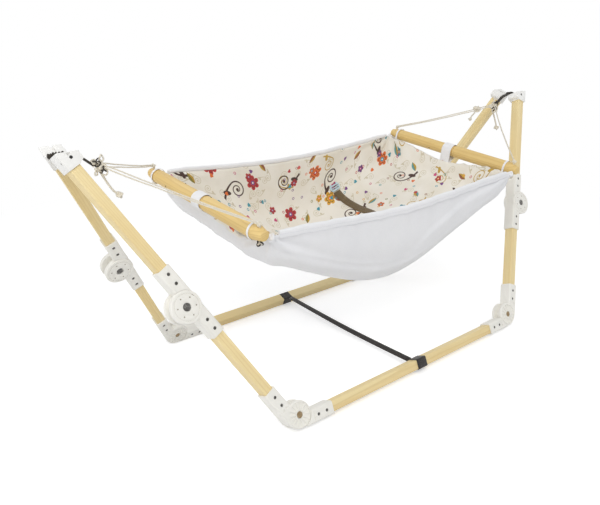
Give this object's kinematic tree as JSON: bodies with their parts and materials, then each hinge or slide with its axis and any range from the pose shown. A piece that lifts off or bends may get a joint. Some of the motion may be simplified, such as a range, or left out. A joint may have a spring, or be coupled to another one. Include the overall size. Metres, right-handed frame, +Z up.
{
  "type": "swinging cradle on stand",
  "caption": "Baby hammock with a printed lining, hung on ropes from two spreader bars and free to swing between the tops of a wooden stand that folds at moulded corners and knees.",
  "frame": {"origin": "on the floor, midway between the four feet", "axes": "+Z up, +X along the rails, +Y across from the front side frame to the back one"},
  "size_m": [1.5326, 0.6034, 0.6405],
  "materials": {
    "stand_wood": "oiled pine, satin",
    "bar_wood": "sanded wood, matt",
    "moulded_plastic": "moulded, fine satin",
    "cap_plastic": "moulded, satin",
    "dark_steel": "blackened steel",
    "black_webbing": "woven tape",
    "dark_cord": "braided cord",
    "outer_cloth": "plain cotton weave",
    "hem_cloth": "folded cotton",
    "printed_lining": "printed cotton",
    "belt_webbing": "woven webbing",
    "buckle_plastic": "moulded",
    "cream_rope": "twisted cotton rope"
  },
  "bodies": {
    "stand": {"front_rail": "stand_wood", "front_left_rail_bracket": "moulded_plastic", "front_right_rail_bracket": "moulded_plastic", "front_rail_screws": "dark_steel", "spread_strap": "black_webbing"},
    "back_frame": {"back_rail": "stand_wood", "back_left_rail_bracket": "moulded_plastic", "back_right_rail_bracket": "moulded_plastic", "back_rail_screws": "dark_steel"},
    "front_left_lower_leg": {"front_left_lower_bar": "stand_wood", "front_left_corner_bracket": "moulded_plastic", "front_left_lower_knee_bracket": "moulded_plastic", "front_left_pivot_bolts": "dark_steel", "front_left_lower_screws": "dark_steel"},
    "front_left_upper_leg": {"front_left_upper_bar": "stand_wood", "front_left_upper_knee_bracket": "moulded_plastic", "front_left_cap": "cap_plastic", "front_left_upper_screws": "dark_steel"},
    "front_right_lower_leg": {"front_right_lower_bar": "stand_wood", "front_right_corner_bracket": "moulded_plastic", "front_right_lower_knee_bracket": "moulded_plastic", "front_right_pivot_bolts": "dark_steel", "front_right_lower_screws": "dark_steel"},
    "front_right_upper_leg": {"front_right_upper_bar": "stand_wood", "front_right_upper_knee_bracket": "moulded_plastic", "front_right_cap": "cap_plastic", "front_right_upper_screws": "dark_steel"},
    "back_left_lower_leg": {"back_left_lower_bar": "stand_wood", "back_left_corner_bracket": "moulded_plastic", "back_left_lower_knee_bracket": "moulded_plastic", "back_left_pivot_bolts": "dark_steel", "back_left_lower_screws": "dark_steel"},
    "back_left_upper_leg": {"back_left_upper_bar": "stand_wood", "back_left_upper_knee_bracket": "moulded_plastic", "back_left_cap": "cap_plastic", "back_left_upper_screws": "dark_steel"},
    "back_right_lower_leg": {"back_right_lower_bar": "stand_wood", "back_right_corner_bracket": "moulded_plastic", "back_right_lower_knee_bracket": "moulded_plastic", "back_right_pivot_bolts": "dark_steel", "back_right_lower_screws": "dark_steel"},
    "back_right_upper_leg": {"back_right_upper_bar": "stand_wood", "back_right_upper_knee_bracket": "moulded_plastic", "back_right_cap": "cap_plastic", "back_right_upper_screws": "dark_steel"},
    "apex_cords": {"left_apex_cord": "dark_cord", "right_apex_cord": "dark_cord"},
    "cradle": {"left_spreader_bar": "bar_wood", "right_spreader_bar": "bar_wood", "bed_shell": "outer_cloth", "bed_lining": "printed_lining", "rim_hems": "hem_cloth", "left_bar_loops": "hem_cloth", "right_bar_loops": "hem_cloth", "restraint_strap": "belt_webbing", "restraint_buckle": "buckle_plastic", "left_ropes": "cream_rope", "right_ropes": "cream_rope", "left_rope_tail": "cream_rope", "right_rope_tail": "cream_rope"}
  },
  "joints": [
    {"name": "front_left_corner_fold", "type": "hinge", "parent": "stand", "child": "front_left_lower_leg", "pos_m": [-0.396, -0.27376, 0.03549], "axis": [0, 0.9252, -0.3795], "range_deg": [0, 117.3]},
    {"name": "front_left_knee_fold", "type": "hinge", "parent": "front_left_lower_leg", "child": "front_left_upper_leg", "pos_m": [-0.59076, -0.15903, 0.31522], "axis": [0, -0.9252, 0.3795], "range_deg": [0, 180]},
    {"name": "front_right_corner_fold", "type": "hinge", "parent": "stand", "child": "front_right_lower_leg", "pos_m": [0.396, -0.27376, 0.03549], "axis": [0, -0.9252, 0.3795], "range_deg": [0, 117.3]},
    {"name": "front_right_knee_fold", "type": "hinge", "parent": "front_right_lower_leg", "child": "front_right_upper_leg", "pos_m": [0.59076, -0.15903, 0.31522], "axis": [0, 0.9252, -0.3795], "range_deg": [0, 180]},
    {"name": "back_left_corner_fold", "type": "hinge", "parent": "back_frame", "child": "back_left_lower_leg", "pos_m": [-0.396, 0.27376, 0.03549], "axis": [0, 0.9252, 0.3795], "range_deg": [0, 117.3]},
    {"name": "back_left_knee_fold", "type": "hinge", "parent": "back_left_lower_leg", "child": "back_left_upper_leg", "pos_m": [-0.59076, 0.15903, 0.31522], "axis": [0, -0.9252, -0.3795], "range_deg": [0, 180]},
    {"name": "back_right_corner_fold", "type": "hinge", "parent": "back_frame", "child": "back_right_lower_leg", "pos_m": [0.396, 0.27376, 0.03549], "axis": [0, -0.9252, -0.3795], "range_deg": [0, 117.3]},
    {"name": "back_right_knee_fold", "type": "hinge", "parent": "back_right_lower_leg", "child": "back_right_upper_leg", "pos_m": [0.59076, 0.15903, 0.31522], "axis": [0, 0.9252, 0.3795], "range_deg": [0, 180]},
    {"name": "sides_close", "type": "hinge", "parent": "stand", "child": "back_frame", "pos_m": [0, 0, 0.70298], "axis": [-1, 0, 0], "range_deg": [0, 40], "deforming": ["spread_strap"]},
    {"name": "cradle_lift_off", "type": "slide", "parent": "stand", "child": "apex_cords", "axis": [0, 0, 1], "range_m": [0, 0.65], "deforming": ["left_apex_cord", "right_apex_cord"]},
    {"name": "cradle_swing", "type": "hinge", "parent": "apex_cords", "child": "cradle", "pos_m": [0, 0.00226, 0.59698], "axis": [1, 0, 0], "range_deg": [-20, 20]}
  ],
  "couplings": [
    {"joint": "front_left_knee_fold", "follows": "front_left_corner_fold", "ratio": 1.5345},
    {"joint": "front_right_corner_fold", "follows": "front_left_corner_fold", "ratio": 1},
    {"joint": "front_right_knee_fold", "follows": "front_left_corner_fold", "ratio": 1.5345},
    {"joint": "back_left_corner_fold", "follows": "front_left_corner_fold", "ratio": 1},
    {"joint": "back_left_knee_fold", "follows": "front_left_corner_fold", "ratio": 1.5345},
    {"joint": "back_right_corner_fold", "follows": "front_left_corner_fold", "ratio": 1},
    {"joint": "back_right_knee_fold", "follows": "front_left_corner_fold", "ratio": 1.5345},
    {"joint": "sides_close", "follows": "front_left_corner_fold", "ratio": 0.34101},
    {"joint": "cradle_lift_off", "follows": "front_left_corner_fold", "m_per_rad": 0.3175}
  ]
}
